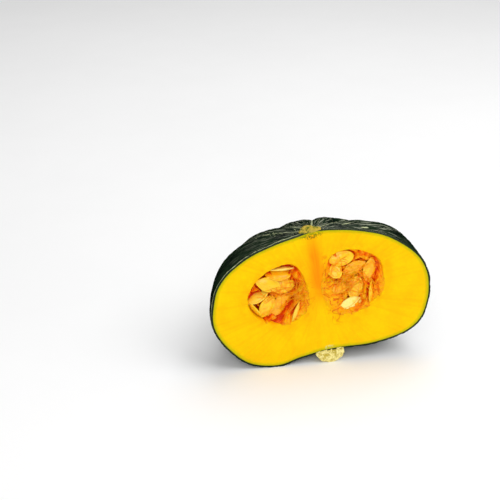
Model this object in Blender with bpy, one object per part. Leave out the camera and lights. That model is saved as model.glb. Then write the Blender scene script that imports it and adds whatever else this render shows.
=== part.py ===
"""Half of a kabocha pumpkin, cut through its stem and resting on its stem side.

The fruit is drawn in a frame of its own: x to the right and z up in the cut plane, with the
blossom scar on top and the stem underneath, and y going back from the cut into the half.
An empty then leans and rolls the half as it lies, and stands it on the floor.
"""

import math

import bmesh
import bpy
from mathutils import Matrix, Vector, noise

# Outlines of the cut on each side of the axis, from the scar down to the stem, in metres:
# distance from the axis, then height.
RIGHT_OUTLINE = (
    (0.0000, 0.0530), (0.0200, 0.0505), (0.0460, 0.0430), (0.0690, 0.0300),
    (0.0855, 0.0115), (0.0910, -0.0095), (0.0840, -0.0370), (0.0670, -0.0505),
    (0.0410, -0.0550), (0.0140, -0.0530), (0.0000, -0.0525))
LEFT_OUTLINE = (
    (0.0000, 0.0530), (0.0120, 0.0515), (0.0360, 0.0470), (0.0600, 0.0380),
    (0.0800, 0.0220), (0.0885, 0.0000), (0.0880, -0.0180), (0.0780, -0.0375),
    (0.0630, -0.0520), (0.0420, -0.0575), (0.0230, -0.0545), (0.0000, -0.0525))

# Furrows between the ribs, in degrees round the axis: 0 is the right end of the cut.
FURROWS = (40.0, 78.0, 112.0, 143.0)
FURROW_DEPTH = 0.0022
FURROW_HALF_WIDTH = 6.0
FURROW_FADE = 0.7
LUMP_DEPTH = 0.0007
LUMP_SIZE = 0.022
SKIN_COLUMNS = 80
SKIN_ROWS = 28
SLOPE_STEP = 0.004
SHARP_ANGLE = 40.0

# Where the fruit is fuller or flatter than its outlines: on the underside that it grew on, and on
# its shoulders. Each has its middle and half width in degrees round the axis, its middle and half
# length as shares of the way from the scar to the stem, and how far it swells, in metres.
SWELLS = (
    (68.0, 30.0, 0.77, 0.12, 0.0058), (150.0, 22.0, 0.77, 0.12, -0.0010),
    (15.0, 9.0, 0.31, 0.14, 0.0049), (30.0, 14.0, 0.26, 0.13, 0.0022),
    (78.0, 40.0, 0.15, 0.12, 0.0026), (142.0, 22.0, 0.24, 0.13, 0.0036))

RIND_THICKNESS = 0.0018
GAP = 0.0003

# Seed chambers: middle of the opening, half its width, half its height, depth behind the cut.
LEFT_CHAMBER = (-0.0320, 0.0025, 0.0260, 0.0258, 0.0300)
RIGHT_CHAMBER = (0.0278, 0.0028, 0.0260, 0.0278, 0.0300)
CHAMBER_COLUMNS = 32
CHAMBER_ROWS = 14
LEFT_PULP_RECESS = 0.0055
RIGHT_PULP_RECESS = 0.0038
STRANDS = 11
STRAND_RELIEF = 0.0020
STRAND_WANDER = 5.0
STRAND_WANDER_SCALE = 2.2

# Seeds: x, z and depth in millimetres, then degrees: where the tip points in the cut plane,
# how far the seed turns on its long axis, and how far its tip dips into the pulp.
SEED_LENGTH = 0.0210
SEED_WIDTH = 0.0125
SEED_THICKNESS = 0.0038
SEED_TIP_TAPER = 0.5
SEED_COLUMNS = 14
SEED_ROWS = 6
LEFT_SEEDS = (
    (-40.0, 13.5, 4.2, 157, 4, 4), (-26.5, 9.5, 6.0, 5, -8, 6), (-26.5, 23.5, 6.5, -6, 74, 0),
    (-30.5, 19.5, 6.5, 172, 55, 0), (-50.0, 4.0, 6.5, 202, 62, 0), (-43.5, -5.5, 4.8, 240, -12, 5),
    (-53.5, -6.5, 7.5, 300, 70, 0), (-31.0, -5.0, 6.8, 35, 10, 0), (-36.5, -13.0, 7.5, 65, 0, 0),
    (-19.5, -15.5, 5.5, 66, 52, 0))
RIGHT_SEEDS = (
    (21.0, 23.5, 3.6, 184, 8, 3), (13.5, 17.0, 4.6, 112, 10, 40), (31.0, 12.5, 4.6, 20, 8, 0),
    (43.5, 8.5, 4.6, 75, 12, 0), (29.5, -4.5, 3.4, 252, 0, 0), (23.5, -17.5, 3.6, 197, -10, 0),
    (43.0, -10.5, 5.0, 82, 58, 0), (14.5, 0.0, 4.8, 178, 20, 0))

# Corky ends: middle, radius, height beyond the skin, number of ridges.
STEM = (0.0022, 0.0118, 0.0108, 7)
SCAR = (-0.0017, 0.0084, 0.0034, 9)
CORK_COLUMNS = 28
CORK_ROWS = 10
CORK_LUMP = 0.0009
CORK_LUMP_SCALE = 3.1

# How the half lies: its top leans back from the cut and rolls to the left.
LEAN = 5.5
ROLL = 7.2
STANDING_SLICE = 0.0005
FLOOR_SIZE = Vector((0.4, 0.4, 0.02))


def outline_point(outline, share):
    """Point of the smooth curve through an outline, at a share of its length."""
    mirror_top = (-outline[1][0], outline[1][1])
    mirror_bottom = (-outline[-2][0], outline[-2][1])
    points = [Vector(point) for point in (mirror_top, *outline, mirror_bottom)]
    steps = [(end - start).length for start, end in zip(points, points[1:])]
    reach = share * sum(steps[1:-1])
    index = 1
    while reach > steps[index] and index < len(outline) - 1:
        reach -= steps[index]
        index += 1
    step = steps[index]
    start, end = points[index], points[index + 1]
    slope_start = (end - points[index - 1]) * step / (steps[index - 1] + step)
    slope_end = (points[index + 2] - start) * step / (step + steps[index + 1])
    t = min(reach / step, 1.0)
    return (start * (2 * t ** 3 - 3 * t ** 2 + 1) + slope_start * (t ** 3 - 2 * t ** 2 + t)
            + end * (3 * t ** 2 - 2 * t ** 3) + slope_end * (t ** 3 - t ** 2))


def section_point(azimuth, share):
    """Point of the smooth body in the half plane at an azimuth, between the two outlines."""
    to_left = (1 - math.cos(azimuth)) / 2
    right = outline_point(RIGHT_OUTLINE, share)
    return right.lerp(outline_point(LEFT_OUTLINE, share), to_left)


def furrow(azimuth, share):
    """Depth of the furrows between ribs, shallow at both ends of the axis."""
    turn = math.degrees(azimuth)
    dips = (math.exp(-((turn - middle) / FURROW_HALF_WIDTH) ** 2) for middle in FURROWS)
    return FURROW_DEPTH * sum(dips) * math.sin(math.pi * share) ** FURROW_FADE


def swell(azimuth, share):
    """How far the skin stands out beyond the two outlines."""
    turn = math.degrees(azimuth)
    return sum(size * math.exp(-((turn - middle) / half) ** 2 - ((share - along) / reach) ** 2)
               for middle, half, along, reach, size in SWELLS)


def skin_point(azimuth, share, inset):
    """Point of the ribbed skin, or of a layer at a depth under it."""
    here = section_point(azimuth, share)
    after = section_point(azimuth, min(share + SLOPE_STEP, 1))
    along = after - section_point(azimuth, max(share - SLOPE_STEP, 0))
    outward = Vector((-along.y, along.x)).normalized()
    spot = Vector((here.x * math.cos(azimuth), here.x * math.sin(azimuth), here.y))
    lump = LUMP_DEPTH * noise.noise(spot / LUMP_SIZE)
    place = here - outward * (furrow(azimuth, share) + lump + inset - swell(azimuth, share))
    return Vector((place.x * math.cos(azimuth), place.x * math.sin(azimuth), place.y))


def fruit_layer(mesh, inset):
    """Adds one closed layer of the whole fruit and returns its vertices."""
    made = bmesh.ops.create_uvsphere(mesh, u_segments=SKIN_COLUMNS, v_segments=SKIN_ROWS, radius=1)
    for vertex in made["verts"]:
        azimuth = abs(math.atan2(vertex.co.y, vertex.co.x))
        share = math.acos(max(-1.0, min(1.0, vertex.co.z))) / math.pi
        side = math.copysign(1.0, vertex.co.y)
        vertex.co = skin_point(azimuth, share, inset)
        vertex.co.y *= side
    return made["verts"]


def cut_in_half(mesh):
    """Removes what lies in front of the cut plane."""
    everything = mesh.verts[:] + mesh.edges[:] + mesh.faces[:]
    bmesh.ops.bisect_plane(mesh, geom=everything, dist=1e-6, plane_co=(0, 0, 0),
                           plane_no=(0, -1, 0), clear_outer=True)
    return [edge for edge in mesh.edges if edge.is_boundary]


def material(name, colour, roughness):
    made = bpy.data.materials.new(name)
    made.use_nodes = True
    shader = made.node_tree.nodes["Principled BSDF"]
    shader.inputs["Base Color"].default_value = (*colour, 1)
    shader.inputs["Roughness"].default_value = roughness
    shader.inputs["Metallic"].default_value = 0.0
    made.diffuse_color = (*colour, 1)
    return made


def add_object(name, mesh, collection, frame, look=None):
    """Turns a bmesh into an object that lies with the half."""
    data = bpy.data.meshes.new(name)
    bmesh.ops.recalc_face_normals(mesh, faces=mesh.faces[:])
    mesh.to_mesh(data)
    mesh.free()
    data.shade_smooth()
    data.set_sharp_from_angle(angle=math.radians(SHARP_ANGLE))
    made = bpy.data.objects.new(name, data)
    made.parent = frame
    collection.objects.link(made)
    if look:
        data.materials.append(look)
    return made


def add_cutter(name, mesh, collection, frame):
    cutter = add_object(name, mesh, collection, frame)
    cutter.hide_render = True
    cutter.display_type = 'WIRE'
    return cutter


def boolean(target, operation, cutter=None, group=None, solver='EXACT'):
    modifier = target.modifiers.new(operation.lower(), 'BOOLEAN')
    modifier.operation = operation
    modifier.solver = solver
    if group:
        modifier.operand_type = 'COLLECTION'
        modifier.collection = group
    else:
        modifier.object = cutter


def apply_modifiers(target):
    """Swaps an object's mesh for the shape that its modifiers give."""
    graph = bpy.context.evaluated_depsgraph_get()
    graph.update()
    shaped = bpy.data.meshes.new_from_object(target.evaluated_get(graph))
    target.modifiers.clear()
    target.data = shaped


def make_rind(collection, frame):
    """The dark skin: an outer and an inner layer joined by a flat rim at the cut."""
    mesh = bmesh.new()
    fruit_layer(mesh, 0.0)
    inner = fruit_layer(mesh, RIND_THICKNESS)
    inner_faces = {face for vertex in inner for face in vertex.link_faces}
    bmesh.ops.reverse_faces(mesh, faces=list(inner_faces))
    rims = cut_in_half(mesh)
    bmesh.ops.bridge_loops(mesh, edges=rims)
    look = material("rind_green", (0.012, 0.035, 0.018), 0.45)
    return add_object("rind", mesh, collection, frame, look)


def make_flesh(collection, frame, chambers):
    """The yellow body with its flat cut face and a chamber sunk in each side."""
    mesh = bmesh.new()
    fruit_layer(mesh, RIND_THICKNESS + GAP)
    rim = cut_in_half(mesh)
    bmesh.ops.edgeloop_fill(mesh, edges=rim)
    look = material("flesh_yellow", (0.95, 0.50, 0.01), 0.4)
    flesh = add_object("flesh", mesh, collection, frame, look)
    for chamber in chambers:
        boolean(flesh, 'DIFFERENCE', chamber)
    return flesh


def chamber_mesh(chamber, clearance):
    """A rounded hollow across the cut plane, with a ring of columns round the y axis."""
    middle_x, middle_z, half_width, half_height, depth = chamber
    mesh = bmesh.new()
    bmesh.ops.create_uvsphere(mesh, u_segments=CHAMBER_COLUMNS, v_segments=CHAMBER_ROWS, radius=1,
                              matrix=Matrix.Rotation(math.radians(90), 4, 'X'))
    size = Vector((half_width, depth, half_height)) - Vector((clearance,) * 3)
    bmesh.ops.scale(mesh, vec=size, verts=mesh.verts)
    bmesh.ops.translate(mesh, vec=(middle_x, 0, middle_z), verts=mesh.verts)
    return mesh


def seed_mesh(place):
    """A flat seed, blunt at one end and pointed at the other."""
    x, z, depth, spin, turn, dip = place
    mesh = bmesh.new()
    bmesh.ops.create_uvsphere(mesh, u_segments=SEED_COLUMNS, v_segments=SEED_ROWS, radius=0.5)
    for vertex in mesh.verts:
        towards_tip = max(0.0, vertex.co.x * 2)
        vertex.co.y *= 1 - SEED_TIP_TAPER * towards_tip ** 2
    lie = (Matrix.Translation((x / 1000, depth / 1000, z / 1000))
           @ Matrix.Rotation(math.radians(90), 4, 'X')
           @ Matrix.Rotation(math.radians(spin), 4, 'Z')
           @ Matrix.Rotation(math.radians(dip), 4, 'Y')
           @ Matrix.Rotation(math.radians(turn), 4, 'X')
           @ Matrix.Diagonal((SEED_LENGTH, SEED_WIDTH, SEED_THICKNESS, 1)))
    bmesh.ops.transform(mesh, matrix=lie, verts=mesh.verts)
    return mesh


def pulp_mesh(chamber, recess):
    """Pulp that fills a chamber, with strands that fan out from its middle to its wall."""
    mesh = chamber_mesh(chamber, GAP)
    middle_x, middle_z, half_width, half_height, depth = chamber
    for vertex in mesh.verts:
        across = (vertex.co.x - middle_x) / half_width
        up = (vertex.co.z - middle_z) / half_height
        reach = math.hypot(across, up)
        wander = STRAND_WANDER * noise.noise(Vector((across, up, middle_x)) * STRAND_WANDER_SCALE)
        wave = math.sin(STRANDS * math.atan2(up, across) + wander)
        behind = max(0.0, vertex.co.y) * (1 - recess / depth)
        relief = 0.0 if behind > 0.0 else STRAND_RELIEF * wave * reach * (1 - reach ** 4)
        vertex.co.y = recess + behind - relief
    return mesh


def make_seed_pulp(name, collection, cutters, frame, chamber, recess, seeds, look):
    """One body of pulp and the seeds that grow from it, kept just clear of the flesh.

    The exact solver gives a slightly different mesh each time for these crossing seeds.
    """
    pulp = add_object(name, pulp_mesh(chamber, recess), collection, frame, look)
    group = bpy.data.collections.new(name + "_seeds")
    bpy.context.scene.collection.children.link(group)
    for place in seeds:
        add_object("seed", seed_mesh(place), group, frame)
    room_mesh = chamber_mesh(chamber, GAP)
    rim = cut_in_half(room_mesh)
    bmesh.ops.edgeloop_fill(room_mesh, edges=rim)
    room = add_cutter(name + "_room", room_mesh, cutters, frame)
    boolean(pulp, 'UNION', group=group, solver='MANIFOLD')
    boolean(pulp, 'INTERSECT', room, solver='MANIFOLD')
    apply_modifiers(pulp)
    for seed in list(group.objects):
        bpy.data.objects.remove(seed)
    bpy.data.collections.remove(group)
    return pulp


def make_cork(name, collection, frame, cork, below, clearance_body, look):
    """A ridged corky button across the cut, standing just clear of the skin."""
    middle, radius, height, ridges = cork
    root = skin_point(0.0, 1.0 if below else 0.0, 0.0).z
    mesh = bmesh.new()
    bmesh.ops.create_uvsphere(mesh, u_segments=CORK_COLUMNS, v_segments=CORK_ROWS, radius=1)
    for vertex in mesh.verts:
        turn = math.atan2(vertex.co.y, vertex.co.x)
        ridge = CORK_LUMP * math.cos(ridges * turn)
        lump = CORK_LUMP * noise.noise(vertex.co * CORK_LUMP_SCALE + Vector((0, 0, ridges)))
        wide = radius + ridge + lump
        vertex.co *= Vector((wide, wide, height + lump))
    bmesh.ops.translate(mesh, vec=(middle, 0, root), verts=mesh.verts)
    rim = cut_in_half(mesh)
    bmesh.ops.edgeloop_fill(mesh, edges=rim)
    cork_object = add_object(name, mesh, collection, frame, look)
    boolean(cork_object, 'DIFFERENCE', clearance_body)
    return cork_object


def make_frame(collection):
    """The empty that leans and rolls the fruit as it lies."""
    frame = bpy.data.objects.new("fruit_frame", None)
    frame.rotation_mode = 'YXZ'
    frame.rotation_euler = (math.radians(-LEAN), math.radians(-ROLL), 0)
    collection.objects.link(frame)
    return frame


def bounds(parts):
    """Lowest and highest corner of the finished shapes, in the world."""
    graph = bpy.context.evaluated_depsgraph_get()
    graph.update()
    corners = []
    for part in parts:
        shaped = part.evaluated_get(graph)
        corners += [part.matrix_world @ vertex.co for vertex in shaped.to_mesh().vertices]
        shaped.to_mesh_clear()
    low = Vector([min(corner[axis] for corner in corners) for axis in range(3)])
    high = Vector([max(corner[axis] for corner in corners) for axis in range(3)])
    return low, high


def stand_on_floor(parts, cutters, frame):
    """Centres the half over the origin and slices small flats where it touches the floor."""
    low, high = bounds(parts)
    middle = (low + high) / 2
    frame.location -= Vector((middle.x, middle.y, low.z + STANDING_SLICE))
    mesh = bmesh.new()
    bmesh.ops.create_cube(mesh, size=1)
    bmesh.ops.scale(mesh, vec=FLOOR_SIZE, verts=mesh.verts)
    bmesh.ops.translate(mesh, vec=(0, 0, -FLOOR_SIZE.z / 2), verts=mesh.verts)
    floor = add_cutter("floor_cutter", mesh, cutters, None)
    for part in parts:
        boolean(part, 'DIFFERENCE', floor)


def main():
    for old in list(bpy.data.objects):
        bpy.data.objects.remove(old)
    parts = bpy.data.collections.new("half_pumpkin")
    cutters = bpy.data.collections.new("cutters")
    for collection in (parts, cutters):
        bpy.context.scene.collection.children.link(collection)
    frame = make_frame(parts)

    chambers = [add_cutter("left_chamber", chamber_mesh(LEFT_CHAMBER, 0.0), cutters, frame),
                add_cutter("right_chamber", chamber_mesh(RIGHT_CHAMBER, 0.0), cutters, frame)]
    whole = bmesh.new()
    fruit_layer(whole, -GAP)
    clearance_body = add_cutter("clearance_body", whole, cutters, frame)

    pulp_look = material("pulp_orange", (0.90, 0.28, 0.02), 0.35)
    cork_look = material("cork_cream", (0.62, 0.50, 0.24), 0.8)
    pieces = [
        make_rind(parts, frame),
        make_flesh(parts, frame, chambers),
        make_seed_pulp("seed_pulp_left", parts, cutters, frame, LEFT_CHAMBER,
                       LEFT_PULP_RECESS, LEFT_SEEDS, pulp_look),
        make_seed_pulp("seed_pulp_right", parts, cutters, frame, RIGHT_CHAMBER,
                       RIGHT_PULP_RECESS, RIGHT_SEEDS, pulp_look),
        make_cork("stem", parts, frame, STEM, True, clearance_body, cork_look),
        make_cork("blossom_scar", parts, frame, SCAR, False, clearance_body, cork_look)]
    stand_on_floor(pieces, cutters, frame)


main()
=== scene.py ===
"""Half of a cut kabocha pumpkin: rind, cut flesh, seed chambers, seeds, stem and scar.

Every piece is drawn in the fruit's own frame, x to the right and z up in the cut plane and y
going back from the cut, and is then laid down where the half lies on the floor.
"""

import math
import random
from collections import namedtuple
from functools import lru_cache

import bmesh
import bpy
from mathutils import Matrix, Vector, noise
from mathutils.bvhtree import BVHTree


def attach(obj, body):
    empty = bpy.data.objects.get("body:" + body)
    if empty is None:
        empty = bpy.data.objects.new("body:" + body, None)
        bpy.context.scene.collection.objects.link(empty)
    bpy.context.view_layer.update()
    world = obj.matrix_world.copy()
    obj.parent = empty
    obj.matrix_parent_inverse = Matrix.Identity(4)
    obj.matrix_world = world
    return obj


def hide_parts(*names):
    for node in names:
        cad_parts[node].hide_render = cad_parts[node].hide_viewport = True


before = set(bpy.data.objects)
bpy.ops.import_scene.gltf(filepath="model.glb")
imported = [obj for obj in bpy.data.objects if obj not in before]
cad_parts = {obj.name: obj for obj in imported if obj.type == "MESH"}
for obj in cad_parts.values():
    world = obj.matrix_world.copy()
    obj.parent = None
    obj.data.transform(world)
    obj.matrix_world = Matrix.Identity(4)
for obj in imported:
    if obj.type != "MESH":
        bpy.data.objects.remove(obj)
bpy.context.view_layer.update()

bl_info = {
    "name": "Half Pumpkin",
    "version": (1, 0, 0),
    "blender": (4, 5, 0),
    "location": "View3D > Sidebar > Pumpkin",
    "description": "Builds half of a cut kabocha pumpkin and the stage that it lies on",
    "category": "Add Mesh",
}

# Where the fruit's frame lies: its middle, then how far it leans back and rolls left, in degrees.
MIDDLE = Vector((-0.0019241, -0.0415234, 0.0623856))
LEAN = 5.5
ROLL = 7.2
LIE = (Matrix.Translation(MIDDLE)
       @ Matrix.Rotation(math.radians(-LEAN), 4, 'X')
       @ Matrix.Rotation(math.radians(-ROLL), 4, 'Y'))

# Outlines of the cut on each side of the axis, from the scar down to the stem, in metres.
RIGHT_OUTLINE = (
    (0.0000, 0.0530), (0.0200, 0.0505), (0.0460, 0.0430), (0.0690, 0.0300),
    (0.0855, 0.0115), (0.0910, -0.0095), (0.0840, -0.0370), (0.0670, -0.0505),
    (0.0410, -0.0550), (0.0140, -0.0530), (0.0000, -0.0525))
LEFT_OUTLINE = (
    (0.0000, 0.0530), (0.0120, 0.0515), (0.0360, 0.0470), (0.0600, 0.0380),
    (0.0800, 0.0220), (0.0885, 0.0000), (0.0880, -0.0180), (0.0780, -0.0375),
    (0.0630, -0.0520), (0.0420, -0.0575), (0.0230, -0.0545), (0.0000, -0.0525))

# Broad form of the skin: furrows in degrees round the axis, and swells, each with its middle and
# half width in degrees round the axis, its middle and half length along it, and its height.
FURROWS = (40.0, 78.0, 112.0, 143.0)
FURROW_DEPTH = 0.0022
FURROW_HALF_WIDTH = 6.0
FURROW_FADE = 0.7
LUMP_DEPTH = 0.0007
LUMP_SIZE = 0.022
SLOPE_STEP = 0.004
SWELLS = (
    (68.0, 30.0, 0.77, 0.12, 0.0058), (150.0, 22.0, 0.77, 0.12, -0.0010),
    (15.0, 9.0, 0.31, 0.14, 0.0049), (30.0, 14.0, 0.26, 0.13, 0.0022),
    (78.0, 40.0, 0.15, 0.12, 0.0026), (142.0, 22.0, 0.24, 0.13, 0.0036))

# How many times finer a ball is made than it starts. Columns and rows are multiples of it.
FINER = 4

# Skin: how finely it is made, and its small forms.
SKIN_COLUMNS = 720
SKIN_ROWS = 236
INNER_COLUMNS = 180
INNER_ROWS = 60
RIM_ROUNDING = 0.00030
CREASE_DEPTH = 0.0005
CREASE_HALF_WIDTH = 0.0011
CREASE_WANDER = 3.0
CREASE_WANDER_SCALE = 6.0
FAR_FROM_CREASE = 99.0
WART_SIZE = 0.0042
WARTY_PATCH_SIZE = 0.031
WRINKLE_SIZE = 0.0025
WRINKLE_STRETCH = 2.6
STREAK_COLUMNS = 42.0
STREAK_ROWS = 16.0
# Pale dashes on top: degrees round the axis, share of it, half width in degrees and half length.
DASHES = ((17.5, 0.130, 1.2, 0.022), (6.0, 0.186, 1.0, 0.016))
SHARP_ANGLE = 50.0

# Flesh: how finely it is made, and its small forms.
FLESH_COLUMNS = 560
FLESH_FACE_ROWS = 116
FLESH_BACK_ROWS = 28
SEAM = 0.00003
CUT_RIPPLE = 0.00022
CUT_RIPPLE_SIZE = 0.013
CUT_BULGE = 0.0006
CORE_TOP = 0.050
CORE_BOTTOM = -0.014
CORE_HALF_WIDTH = 0.0050
CORE_SPREAD = 0.0030
CORE_LEAN = -0.030
FIBRE_COLUMNS = 46.0
FIBRE_ROWS = 3.5

# Seed chambers, in millimetres: middle, radius and depth of the edge for each 30 degrees from the
# right end round through the top, depth in the middle, where its strands grow from, how far back
# it goes, and how many loose strands it has.
Chamber = namedtuple("Chamber", "name middle radii edges recess root reach strands")
LEFT_CHAMBER = Chamber(
    "left", (-33.0, 2.5),
    (23.5, 25.3, 29.0, 25.0, 23.4, 24.0, 25.5, 24.8, 24.0, 24.8, 26.4, 25.5),
    (0.8, 1.6, 3.4, 5.5, 7.0, 8.0, 7.0, 5.5, 3.6, 1.4, 0.5, 0.5),
    6.5, (-6.0, 1.0), 28.0, 50)
RIGHT_CHAMBER = Chamber(
    "right", (28.0, 3.0),
    (25.5, 27.4, 26.4, 27.8, 29.5, 25.6, 25.5, 26.6, 29.0, 27.5, 25.5, 26.2),
    (1.2, 3.0, 4.6, 4.4, 2.2, 0.5, 0.3, 0.3, 0.5, 1.0, 0.8, 0.8),
    4.2, (0.0, 3.0), 28.0, 65)
DEEPEST_EDGE = 8.0
CRISP_LIP = 0.05
SOFT_LIP = 0.30
PULP_COLUMNS = 300
PULP_FACE_ROWS = 120
PULP_BACK_ROWS = 16
PULP_OVERLAP = 1.03
STRAND_RANDOM_START = 5
STRAND_TRIES = 40
STRAND_STEP = 1.3
LONGEST_STRAND = 26.0
LOWEST_STRAND = 0.35
MOST_CROSSING = 0.08
CROSSING_CHANCE = 0.02
RAY_START = 0.004
STRAND_SPREAD = 9.0
STRAND_LENGTH = 11.0
RIDGE_HEIGHT = 2.2
FOAM_HEIGHT = 1.3
FOAM_SIZE = 3.2
COLLAR_REACH = 1.30
COLLAR_WIDTH = 0.15
COLLAR_HEIGHT = 1.3
POCKET_DEPTH = 2.0

# Seeds: x, z and depth in millimetres, then degrees: where the tip points in the cut plane, how
# far the seed turns on its long axis and how far its tip dips, then how much film covers it, or
# below 0 how far it is wiped clean.
SEED_HALF_SIZES = (10.5, 6.2, 1.9)
SEED_THICKNESS = 0.0038
SEED_TIP_TAPER = 0.5
SEED_COLUMNS = 56
SEED_ROWS = 28
LEFT_SEEDS = (
    (-40.0, 13.5, 4.2, 157, 4, 4, 0.15), (-26.5, 9.5, 6.0, 5, -8, 6, 0.45),
    (-26.5, 23.5, 6.5, -6, 74, 0, -0.7), (-30.5, 19.5, 6.5, 172, 55, 0, 0.6),
    (-50.0, 4.0, 6.5, 202, 62, 0, -0.3), (-43.5, -5.5, 4.8, 240, -12, 5, 0.4),
    (-53.5, -6.5, 7.5, 300, 70, 0, -0.1), (-31.0, -5.0, 6.8, 35, 10, 0, 0.6),
    (-36.5, -13.0, 7.5, 65, 0, 0, 0.7), (-19.5, -15.5, 5.5, 66, 52, 0, -0.3))
RIGHT_SEEDS = (
    (21.0, 23.5, 3.6, 184, 8, 3, 0.3), (13.5, 17.0, 4.6, 112, 10, 40, 0.3),
    (31.0, 12.5, 4.6, 20, 8, 0, 0.8), (43.5, 8.5, 4.6, 75, 12, 0, 0.7),
    (29.5, -4.5, 3.4, 252, 0, 0, 0.4), (23.5, -17.5, 3.4, 197, -10, 0, -1.2),
    (43.0, -10.5, 5.0, 82, 58, 0, 0.35), (14.5, 0.0, 4.8, 178, 20, 0, 0.85))

CHAMBERS = ((LEFT_CHAMBER, LEFT_SEEDS), (RIGHT_CHAMBER, RIGHT_SEEDS))

# Corky ends: middle, radius, height beyond the skin, height sunk into the flesh.
STEM = (0.0022, 0.0118, 0.0108, 0.0010)
SCAR = (-0.0017, 0.0084, 0.0034, 0.0008)
CORK_COLUMNS = 200
CORK_FACE_ROWS = 48
CORK_BACK_ROWS = 60
CORK_PROUD = 0.00018
CORK_LUMP_SIZE = 0.0062
CORK_CRUMB_SIZE = 0.0030
CORK_PIT_SIZE = 0.0052

# Camera: degrees to the left of the front, degrees up, distance, lens, and the point that it looks
# at from the fruit's middle.
CAMERA_LEFT = 14.0
CAMERA_UP = 28.0
CAMERA_DISTANCE = 0.9444
CAMERA_LENS = 85.0
CAMERA_AIM = Vector((-0.0520, 0.0262, 0.0292))
FLOOR_REACH = 4.0


def colour_property(name, description, default):
    """A colour that a user can change."""
    return bpy.props.FloatVectorProperty(
        name=name, description=description, default=default, subtype='COLOR')


def number_property(name, description, default, unit='NONE'):
    """A size, strength or power that a user can change."""
    return bpy.props.FloatProperty(name=name, description=description, default=default, unit=unit)


class SkinSettings(bpy.types.PropertyGroup):
    """Sizes and colours of the rind."""
    thickness: number_property("Thickness", "Thickness of the dark rind at the cut", 0.0013, 'LENGTH')
    wart_height: number_property("Wart height", "Height of the warts on the ribs", 0.00042, 'LENGTH')
    wrinkle_height: number_property("Wrinkle height", "Height of the fine wrinkles", 0.00034, 'LENGTH')
    dark: colour_property("Dark green", "Main colour of the rind", (0.0025, 0.0065, 0.0040))
    light: colour_property("Mottled green", "Lighter green that mottles the rind", (0.009, 0.023, 0.009))
    # The furrow line colour also paints the highlight along the left of the cut edge.
    line: colour_property("Furrow line", "Pale green line in the furrows", (0.50, 0.54, 0.30))
    # Painted sheen: grey green streaks that stand for the broken gloss on top of the rind.
    painted_sheen: colour_property("Sheen", "Dull grey green of the broken streaks on top", (0.34, 0.36, 0.26))
    inner: colour_property(
        "Inner rind", "Colour of the rind where it meets the flesh", (0.020, 0.045, 0.006))


class FleshSettings(bpy.types.PropertyGroup):
    """Colours of the cut flesh."""
    yellow: colour_property("Yellow", "Main colour of the flesh", (0.96, 0.63, 0.001))
    deep: colour_property("Deep yellow", "Warmer colour that the flesh varies to", (0.96, 0.56, 0.001))
    core: colour_property(
        "Core orange", "Colour of the band under the scar and round the chambers", (1.0, 0.27, 0.001))
    stroke: colour_property(
        "Stroke red", "Colour of the short torn strokes beside the chambers", (0.72, 0.07, 0.001))
    green: colour_property("Edge green", "Green of the flesh beside the rind", (0.46, 0.46, 0.003))
    speck: colour_property("Speck", "Dark specks in the flesh under the scar", (0.09, 0.12, 0.006))
    fleck: colour_property("Fleck", "Pale flecks in the flesh over the stem", (0.80, 0.82, 0.34))
    green_width: number_property("Green edge", "Width of the green edge of the flesh", 0.0030, 'LENGTH')


class PulpSettings(bpy.types.PropertyGroup):
    """Colours of the wet pulp and its strands."""
    # Deep red stands partly for the pulp's own red and partly for painted shade in gaps, deep parts and round
    # the seeds.
    deep: colour_property("Deep red", "Colour in the gaps of the pulp", (0.72, 0.055, 0.001))
    orange: colour_property("Orange", "Colour of the pulp at middle depth", (1.0, 0.21, 0.001))
    amber: colour_property("Amber", "Colour of the pulp at the cut", (1.0, 0.41, 0.003))
    edge: colour_property("Edge", "Colour of the pulp where it turns to flesh", (1.0, 0.52, 0.002))
    strand: number_property("Strand", "Thickest radius of a strand", 0.00042, 'LENGTH')


class SeedSettings(bpy.types.PropertyGroup):
    """Size and colours of the seeds."""
    length: number_property("Length", "Length of a seed", 0.0210, 'LENGTH')
    width: number_property("Width", "Width of a seed", 0.0125, 'LENGTH')
    pale: colour_property("Pale", "Colour of a bare seed", (1.0, 0.62, 0.012))
    white: colour_property("White", "Colour of a seed that has been wiped clean", (0.98, 0.86, 0.24))
    film: colour_property("Film", "Colour of the film on the seeds", (1.0, 0.43, 0.003))


class CorkSettings(bpy.types.PropertyGroup):
    """Colours of the stem and the scar."""
    cream: colour_property("Cream", "Main colour of the cork", (0.95, 0.84, 0.33))
    # Tan and the scar pits colour: the cork's own darker crevices together with painted shade in its pits.
    tan: colour_property("Tan", "Colour in the pits of the cork", (0.56, 0.43, 0.06))
    scar: colour_property("Scar", "Main colour of the scar", (0.55, 0.39, 0.04))
    pit: colour_property("Scar pits", "Colour in the pits of the scar", (0.13, 0.15, 0.01))
    lump: number_property("Lump", "Height of the cork's lumps", 0.0016, 'LENGTH')


class StageSettings(bpy.types.PropertyGroup):
    """Floor and light."""
    floor: colour_property("Floor", "Colour of the floor", (0.96, 0.96, 0.96))
    sky: number_property("Room light", "Strength of the light from all round", 0.44)
    key: number_property("Key light", "Power of the large light on the right", 9.0, 'POWER')
    fill: number_property("Fill light", "Power of the light in front", 7.3, 'POWER')
    back: number_property("Back light", "Power of the light behind", 7.5, 'POWER')


def clamp(value, low=0.0, high=1.0):
    return max(low, min(high, value))


def smooth(value):
    """Eases from 0 to 1."""
    t = clamp(value)
    return t * t * (3 - 2 * t)


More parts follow.
